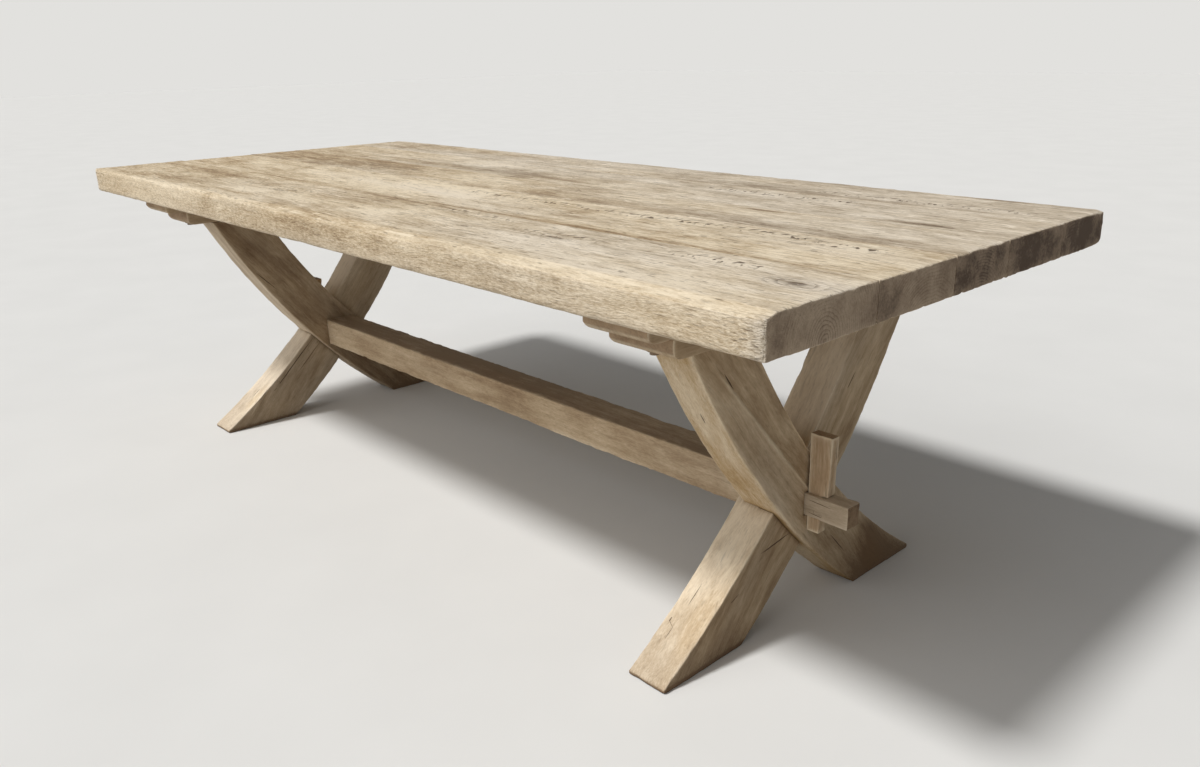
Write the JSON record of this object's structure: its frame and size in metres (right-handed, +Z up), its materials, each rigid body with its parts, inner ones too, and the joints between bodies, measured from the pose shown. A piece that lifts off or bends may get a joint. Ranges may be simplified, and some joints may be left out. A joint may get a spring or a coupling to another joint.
{
  "type": "trestle dining table",
  "caption": "Long plank-topped wooden dining table on trestles of crossed, bowed legs, tied by a low stretcher whose through tenons are locked by draw keys.",
  "frame": {"origin": "on the floor, under the middle of the top", "axes": "+X along the length of the top, +Y across it to the rear, +Z up"},
  "size_m": [2.44, 1.05, 0.77],
  "materials": {
    "top_oak": "dry, bleached and sanded, open grain, no gloss",
    "frame_oak": "dry, weathered, sanded, no gloss",
    "key_oak": "dry, weathered, sawn, no gloss",
    "fixing_steel": "dull zinc plate"
  },
  "bodies": {
    "frame": {"front_plank": "top_oak", "front_inner_plank": "top_oak", "middle_plank": "top_oak", "rear_inner_plank": "top_oak", "rear_plank": "top_oak", "top_tongue_1": "frame_oak", "top_tongue_2": "frame_oak", "top_tongue_3": "frame_oak", "top_tongue_4": "frame_oak", "right_batten": "frame_oak", "left_batten": "frame_oak", "right_batten_screws": "fixing_steel", "left_batten_screws": "fixing_steel", "right_rail": "frame_oak", "left_rail": "frame_oak", "right_rail_bolts": "fixing_steel", "left_rail_bolts": "fixing_steel", "right_rail_washers": "fixing_steel", "left_rail_washers": "fixing_steel", "right_main_leg": "frame_oak", "right_cross_leg": "frame_oak", "left_main_leg": "frame_oak", "left_cross_leg": "frame_oak", "right_leg_pegs": "frame_oak", "left_leg_pegs": "frame_oak", "stretcher": "frame_oak"},
    "right_key": {"right_key": "key_oak"},
    "left_key": {"left_key": "key_oak"}
  },
  "joints": [
    {"name": "right_key_lift", "type": "slide", "parent": "frame", "child": "right_key", "axis": [0, 0, 1], "range_m": [0, 0.08]},
    {"name": "left_key_lift", "type": "slide", "parent": "frame", "child": "left_key", "axis": [0, 0, 1], "range_m": [0, 0.08]}
  ]
}
